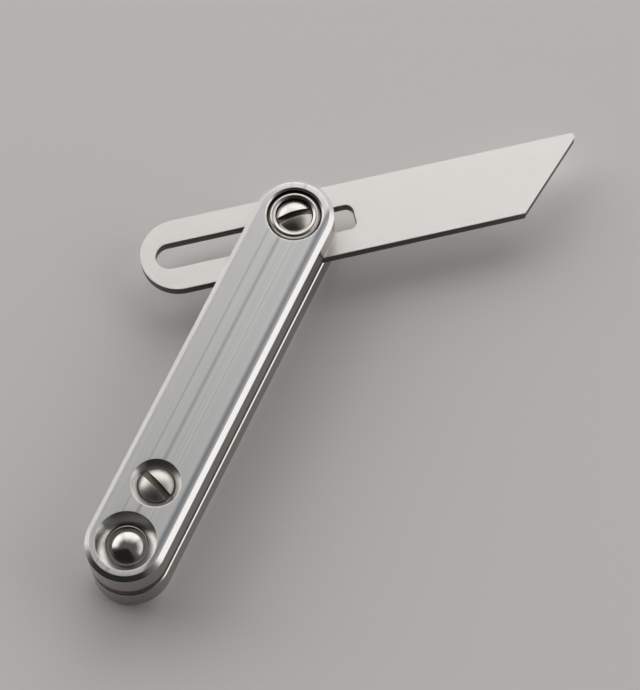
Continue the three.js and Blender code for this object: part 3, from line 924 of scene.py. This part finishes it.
class Recipe(Graph):
    """A Geometry Nodes group that takes geometry, named inputs and a metal, and gives geometry."""

    def __init__(self, name, inputs):
        super().__init__(bpy.data.node_groups.new(name, "GeometryNodeTree"))
        for key, kind in {"geometry": "Geometry", **inputs, "metal": "Material"}.items():
            self.tree.interface.new_socket(key, in_out="INPUT", socket_type="NodeSocket" + kind)
        self.tree.interface.new_socket("geometry", in_out="OUTPUT", socket_type="NodeSocketGeometry")
        given = self.tree.nodes.new("NodeGroupInput")
        self.given = {socket.name: Value(self.tree, socket) for socket in given.outputs if socket.name}

    def finish(self, geometry):
        plain = self.node("GeometryNodeRealizeInstances", values={"Geometry": geometry})
        values = {"Geometry": plain, "Material": self.given["metal"]}
        painted = self.node("GeometryNodeSetMaterial", values=values)
        self.node("NodeGroupOutput", values={"geometry": painted})
        return self.tree


def coil_recipe():
    """A wire swept along a helix."""
    sizes = dict.fromkeys(("radius", "height", "turns", "wire"), "Float")
    recipe = Recipe("coil", {**sizes, "sides": "Int", "steps": "Int"})
    given = recipe.given
    spiral = recipe.node("GeometryNodeCurveSpiral", values={
        "Resolution": given["steps"],
        "Rotations": given["turns"],
        "Start Radius": given["radius"],
        "End Radius": given["radius"],
        "Height": given["height"],
    })
    helix = recipe.node("GeometryNodeSetCurveNormal", {"mode": "Z_UP"}, {"Curve": spiral})
    circle = {"Resolution": given["sides"], "Radius": given["wire"]}
    wire = recipe.node("GeometryNodeCurvePrimitiveCircle", values=circle)
    sweep = {"Curve": helix, "Profile Curve": wire, "Fill Caps": True}
    return recipe.finish(recipe.node("GeometryNodeCurveToMesh", values=sweep))


def stack_recipe():
    """A disc turned face up and face down in turn, stacked at one pitch."""
    recipe = Recipe("disc_stack", {"count": "Int", "pitch": "Float"})
    given = recipe.given
    line = {"Count": given["count"], "Offset": recipe.join(0.0, 0.0, given["pitch"])}
    points = recipe.node("GeometryNodeMeshLine", values=line)
    index = recipe.node("GeometryNodeInputIndex")
    turn = index.math("MODULO", index, 2.0) * math.pi
    stack = {"Points": points, "Instance": given["geometry"], "Rotation": recipe.join(turn, 0.0, 0.0)}
    return recipe.finish(recipe.node("GeometryNodeInstanceOnPoints", values=stack))


def grow(piece, tree, place, values):
    """Gives a piece the plain mesh that a group makes from its inputs, and puts it in place."""
    modifier = piece.modifiers.new(tree.name, "NODES")
    modifier.node_group = tree
    sockets = {item.name: item.identifier for item in tree.interface.items_tree if item.in_out == "INPUT"}
    for key, value in values.items():
        modifier[sockets[key]] = value
    settle(piece)
    piece.data.transform(Matrix.Translation(place))


def swept_coil(name, tree, place, **values):
    piece = linked(name, bpy.data.meshes.new(name))
    grow(piece, tree, place, values)
    for polygon in piece.data.polygons:
        polygon.use_smooth = True
    return piece


def add_thread(screw, tree, radius, pitch, bottom, top, centre):
    """Adds the raised ridge of a thread to a screw, in the first of its metals."""
    rise = pitch * RIDGE_SHARE
    place = (centre.x, centre.y, bottom)
    ridge = swept_coil(
        "ridge", tree, place,
        radius=radius - rise / 2,
        height=top - bottom,
        turns=(top - bottom) / pitch,
        wire=rise / 2,
        sides=RIDGE_SIDES,
        steps=RIDGE_STEPS,
        metal=screw.data.materials[0],
    )
    whole = bmesh.new()
    whole.from_mesh(screw.data)
    whole.from_mesh(ridge.data)
    whole.to_mesh(screw.data)
    whole.free()
    bpy.data.objects.remove(ridge)


def cut_slot(screw, head_radius, top, turn, centre):
    """Cuts a screw's slot, with a slightly rounded floor, and breaks the sharp edges that it leaves."""
    reach = head_radius + OVERRUN
    half = SLOT_WIDTH / 2
    place = Matrix.Translation((centre.x, centre.y, 0)) @ Matrix.Rotation(turn, 4, "Z")
    place = place @ Matrix.Rotation(math.pi / 2, 4, "Y") @ Matrix.Rotation(math.pi / 2, 4, "Z")
    form = Form(place)
    corners = [
        (half, top - SLOT_DEPTH, SLOT_FLOOR_ROUND),
        (half, top + OVERRUN, 0),
        (-half, top + OVERRUN, 0),
        (-half, top - SLOT_DEPTH, SLOT_FLOOR_ROUND),
    ]
    outline, _ = rounded(corners, True)
    ends = [form.ring([(x, z, side * reach) for x, z in outline]) for side in (-1, 1)]
    form.band(ends[0], ends[1], SLOT, False)
    for end in ends:
        form.cap([end], SLOT)
    carve(screw, form.object("slot", screw.data.materials))
    screw.data.transform(Matrix.Scale(1 / MM, 4))
    modifier = screw.modifiers.new("edge_break", "BEVEL")
    modifier.width = SLOT_EDGE / MM
    modifier.segments = SLOT_EDGE_STEPS
    modifier.limit_method = "ANGLE"
    modifier.angle_limit = SLOT_EDGE_ANGLE
    modifier.use_clamp_overlap = True
    settle(screw)
    screw.data.transform(Matrix.Scale(MM, 4))


def tension_screw(tree):
    seat = collar_low.z + COLLAR_FLOOR + PRESS_CLEARANCE
    rim = seat + TENSION_EDGE
    core = TENSION_SHANK - RIDGE_SHARE * TENSION_PITCH
    form = Form()
    form.lathe([
        (0, tension_low.z, 0),
        (core, tension_low.z, TENSION_TIP_ROUND),
        (core, seat, 0),
        (TENSION_HEAD, seat, FINE_ROUND),
        *dome_profile(TENSION_HEAD, TENSION_DOME, rim, HEAD_ROUND),
    ], [HEAD] * 2 + [SHADE] * 2 + [HEAD] * (DOME_STEPS + 1), PIVOT)
    screw = form.object("tension_screw_piece", [tension_head_metal, slot_painted_shade_metal, painted_shade_metal])
    cut_slot(screw, TENSION_HEAD, rim + TENSION_DOME, TENSION_SLOT_TURN, PIVOT)
    low, high = tension_low.z + TENSION_PITCH, seat - TENSION_PITCH
    add_thread(screw, tree, TENSION_SHANK, TENSION_PITCH, low, high, PIVOT)
    finish_piece(screw, "screw", ["tension_screw"])


def rear_screw(tree):
    slope = math.tan(SINK_ANGLE / 2)
    shoulder = FACE_TOP - (SINK_RADIUS - REAR_HEAD) / slope + PRESS_CLEARANCE
    neck = shoulder - (REAR_HEAD - REAR_SHANK) / slope
    rim = shoulder + REAR_EDGE
    core = REAR_SHANK - RIDGE_SHARE * REAR_PITCH
    thread_top = LOWER_TOP - REAR_THREAD_SHY
    form = Form()
    form.lathe([
        (0, rear_screw_low.z, 0),
        (core, rear_screw_low.z, REAR_TIP_ROUND),
        (core, thread_top, 0),
        (REAR_SHANK, thread_top + REAR_THREAD_RUNOUT, 0),
        (REAR_SHANK, neck, CUT_ROUND),
        (REAR_HEAD, shoulder, CUT_ROUND),
        *dome_profile(REAR_HEAD, REAR_DOME, rim, HEAD_ROUND),
    ], [HEAD] * 4 + [SHADE] * 2 + [HEAD] * (DOME_STEPS + 1), REAR_SCREW)
    screw = form.object("rear_screw_piece", [rear_head_metal, slot_painted_shade_metal, painted_shade_metal])
    cut_slot(screw, REAR_HEAD, rim + REAR_DOME, REAR_SLOT_TURN, REAR_SCREW)
    low = rear_screw_low.z + REAR_PITCH * REAR_LEAD_SHARE
    add_thread(screw, tree, REAR_SHANK, REAR_PITCH, low, thread_top, REAR_SCREW)
    finish_piece(screw, "stock", ["rear_screw"])


def clamp_collar():
    bottom = collar_low.z
    top = collar_high.z
    bore = TENSION_SHANK + BOLT_CLEARANCE
    form = Form()
    form.lathe([
        (bore, bottom, 0),
        (COLLAR_RADIUS, bottom, FINE_ROUND),
        (COLLAR_RADIUS, top - COLLAR_OUTER_DROP, EDGE_ROUND),
        (COLLAR_CREST, top + COLLAR_CREST_POINT, COLLAR_CREST_ROUND),
        (COLLAR_BORE, top - COLLAR_INNER_DROP, CUT_ROUND),
        (COLLAR_BORE, bottom + COLLAR_FLOOR, CUT_ROUND),
        (bore, bottom + COLLAR_FLOOR, CUT_ROUND),
    ], (BRIGHT, DARK, BRIGHT, BRIGHT, BRIGHT, DARK, BRIGHT), PIVOT, True, fillet_steps=CREST_STEPS)
    form.piece("clamp_collar_piece", [collar_metal, painted_shade_metal], "post", "clamp_collar", "polished_steel")


def release_button():
    rim = FACE_TOP - BUTTON_SINK
    flange_bottom = FLANGE_TOP - FLANGE_THICKNESS
    form = Form()
    form.lathe([
        (0, button_low.z, 0),
        (STEM_RADIUS, button_low.z, STEM_TIP_ROUND),
        (STEM_RADIUS, flange_bottom, STEM_FILLET),
        (FLANGE_RADIUS, flange_bottom, PART_ROUND),
        (FLANGE_RADIUS, FLANGE_TOP, FINE_ROUND),
        (BUTTON_RADIUS, FLANGE_TOP, 0),
        (BUTTON_RADIUS, rim, BUTTON_EDGE),
        *dome_profile(DOME_RADIUS, DOME_RISE, rim),
    ], [DARK] * 6 + [BRIGHT] * (DOME_STEPS + 2), BUTTON)
    form.piece("button_dome", [dome_metal, painted_shade_metal], "button", "release_button", "polished_steel")


def round_piece(name, profile, material, body, node, slot, centre, closed=False):
    form = Form()
    form.lathe(profile, 0, centre, closed)
    form.piece(name, [material], body, node, slot)


def clamp_works():
    bore = TENSION_SHANK + BOLT_CLEARANCE
    head_top = post_low.z + POST_HEAD_THICKNESS
    tap_floor = post_high.z - POST_TAP_DEPTH
    round_piece("clamp_post_piece", [
        (0, post_low.z, 0),
        (POST_HEAD_RADIUS, post_low.z, PART_ROUND),
        (POST_HEAD_RADIUS, head_top, FINE_ROUND),
        (POST_RADIUS, head_top, FINE_ROUND),
        (POST_RADIUS, post_high.z, PIN_ROUND),
        (bore, post_high.z, CUT_ROUND),
        (bore, tap_floor, 0),
        (0, tap_floor - bore / 2, 0),
    ], ground_metal, "post", "clamp_post", "ground_steel", PIVOT)
    bush_bore = POST_RADIUS + RUN_CLEARANCE
    bush = section(bush_bore, BUSH_RADIUS, bush_low.z, bush_high.z, BUSH_ROUND)
    round_piece("slide_bush_piece", bush, bronze_metal, "carriage", "slide_bush", "bronze", PIVOT, True)
    washer = section(bush_bore, WASHER_RADIUS, washer_low.z, washer_high.z, FINE_ROUND)
    round_piece("blade_washer_piece", washer, bronze_metal, "stock", "blade_washer", "bronze", PIVOT, True)


def spring_retainer():
    form = Form()
    profile = section(RETAINER_BORE, RETAINER_RADIUS, retainer_low.z, retainer_high.z, PART_ROUND)
    form.lathe(profile, 0, PIVOT, True)
    ring = form.object("spring_retainer_piece", [ground_metal])
    low, high = retainer_low.z - OVERRUN, retainer_high.z + OVERRUN
    holes = []
    for side in (-1, 1):
        centre = (PIVOT.x, side * SPANNER_REACH)
        holes.append(cylinder_cutter("spanner_hole", SPANNER_HOLE, low, high, [ground_metal], 0, centre))
    carve(ring, *holes)
    finish_piece(ring, "stock", ["spring_retainer"])


def disc_springs():
    radius = (disc_high.x - disc_low.x) / 2
    height = disc_high.z - disc_low.z
    cone = height - DISC_THICKNESS
    form = Form()
    form.lathe([
        (DISC_BORE, cone - height / 2, CUT_ROUND),
        (radius, -height / 2, CUT_ROUND),
        (radius, DISC_THICKNESS - height / 2, CUT_ROUND),
        (DISC_BORE, height / 2, CUT_ROUND),
    ], 0, closed=True, steps=DISC_STEPS)
    stack = form.object("disc_springs_piece", [spring_metal])
    values = {"count": DISC_COUNT, "pitch": next_disc_low.z - disc_low.z, "metal": spring_metal}
    grow(stack, stack_recipe(), (PIVOT.x, 0, disc_low.z + height / 2), values)
    nodes = [f"disc_spring_{number + 1}" for number in range(DISC_COUNT)]
    finish_piece(stack, "stock", nodes)


def return_spring(tree):
    place = (BUTTON.x, 0, coil_low.z + COIL_WIRE)
    piece = swept_coil(
        "return_spring_piece", tree, place,
        radius=(coil_high.x - coil_low.x) / 2 - COIL_WIRE,
        height=coil_high.z - coil_low.z - 2 * COIL_WIRE,
        turns=COIL_TURNS,
        wire=COIL_WIRE,
        sides=COIL_SIDES,
        steps=COIL_STEPS,
        metal=spring_metal,
    )
    finish_piece(piece, "stock", ["return_spring"])


def rear_spacer():
    radius = (spacer_high.y - spacer_low.y) / 2
    profile = bevelled(spacer_low.z, spacer_high.z, SPACER_EDGE)
    holes = [stadium(REAR_SCREW.x, REAR_SCREW.x, SINK_BORE), stadium(DOWEL.x, DOWEL.x, DOWEL_BORE)]
    form = Form()
    form.plate(stadium(DOWEL.x, REAR_SCREW.x, radius), profile, (0, 0, 0), (0, 0), holes)
    form.piece("rear_spacer_piece", [ground_metal], "stock", "rear_spacer", "ground_steel")


def pins():
    dowel = section(0, DOWEL_RADIUS, dowel_low.z, dowel_high.z, PIN_ROUND)
    round_piece("dowel_pin_piece", dowel, ground_metal, "stock", "dowel_pin", "ground_steel", DOWEL)
    half = (fulcrum_high.y - fulcrum_low.y) / 2
    form = Form(FULCRUM_PLACE)
    form.lathe(section(0, FULCRUM_PIN, -half, half, PIN_ROUND), 0)
    form.piece("fulcrum_pin_piece", [ground_metal], "stock", "fulcrum_pin", "ground_steel")


def release_lever():
    materials = frame["nodes"]["release_lever"].data.materials
    materials.clear()
    materials.append(lever_metal)


FLOOR_HALF = 4.0
FLOOR_LOOK = {"Base Color": (0.88, 0.87, 0.86, 1), "Roughness": 0.32}


def floor():
    form = Form()
    corners = [(-1, -1), (1, -1), (1, 1), (-1, 1)]
    form.mesh.faces.new(form.ring([(x * FLOOR_HALF, y * FLOOR_HALF) for x, y in corners], 0))
    form.object("floor", [coated("pale_floor", lambda shader: FLOOR_LOOK)])


# Light from all round, and how much of it is lost between two turns away from the pivot's side
LIGHT_COLOUR = (1, 0.985, 0.965, 1)
AROUND = 0.13
DIMMED = 0.85
DIM_FROM = 100
DIM_TO = 130

# Boxes of light by their turn, rise and level, and how softly they end to the sides and in height
SIDE_SOFTNESS = 9
RISE_SOFTNESS = 11
SOFT_BOXES = (
    (-88, 104, -10, 53, 0.75),
    (-16, 44, -10, 63, 0.65),
    (50, 104, -10, 52, 0.7),
    (-84, -34, -10, 46, 0.15),
)


def studio():
    """Boxes of soft light past the pivot and at both sides, and a dark stretch past the butt."""
    world = bpy.data.worlds.new("studio")
    bpy.context.scene.world = world
    world.use_nodes = True
    shader = Shader(world.node_tree)
    x, y, z = shader.split(shader.node("ShaderNodeTexCoord", output="Generated"))
    turn = y.over_angle(x) * math.degrees(1)
    rise = z.math("ARCSINE", z) * math.degrees(1)
    strength = AROUND * (1 - turn.absolute().step(DIM_FROM, DIM_TO) * DIMMED)
    for start, end, low, high, level in SOFT_BOXES:
        box = turn.between(start, end, SIDE_SOFTNESS) * rise.between(low, high, RISE_SOFTNESS)
        strength = strength + box * level
    background = shader.node("ShaderNodeBackground", values={"Color": LIGHT_COLOUR, "Strength": strength})
    shader.node("ShaderNodeOutputWorld", values={"Surface": background})


# The camera stands where the photograph was taken, found from the edges of the stock and the blade
CAMERA_AZIMUTH = math.radians(-62.18)
CAMERA_ELEVATION = math.radians(67.23)
CAMERA_ROLL = math.radians(-3.2)
CAMERA_AIM = Vector((17.61, -20.86, 20.2)) * MM
CAMERA_DISTANCE = 627.2 * MM
FOCAL_PIXELS = 2560.21
FRAME_HEIGHT = 690
SENSOR_WIDTH = 36
NEAREST = 10 * MM


def camera():
    data = bpy.data.cameras.new("camera")
    data.sensor_width = SENSOR_WIDTH
    data.lens = FOCAL_PIXELS * SENSOR_WIDTH / FRAME_HEIGHT
    data.clip_start = NEAREST
    flat = math.cos(CAMERA_ELEVATION)
    back = Vector((
        math.sin(CAMERA_AZIMUTH) * flat,
        -math.cos(CAMERA_AZIMUTH) * flat,
        math.sin(CAMERA_ELEVATION),
    ))
    right = Vector((math.cos(CAMERA_AZIMUTH), math.sin(CAMERA_AZIMUTH), 0))
    up = back.cross(right)
    turned_right = right * math.cos(CAMERA_ROLL) + up * math.sin(CAMERA_ROLL)
    turned_up = up * math.cos(CAMERA_ROLL) - right * math.sin(CAMERA_ROLL)
    place = Matrix((turned_right, turned_up, back)).transposed().to_4x4()
    place.translation = CAMERA_AIM + back * CAMERA_DISTANCE
    made = linked("camera", data)
    made.matrix_world = place
    bpy.context.scene.camera = made


coil = coil_recipe()
upper_half()
lower_half()
blade_plate()
tension_screw(coil)
rear_screw(coil)
clamp_collar()
release_button()
clamp_works()
spring_retainer()
disc_springs()
return_spring(coil)
rear_spacer()
pins()
release_lever()
floor()
studio()
camera()
bpy.context.scene.view_settings.view_transform = "Standard"
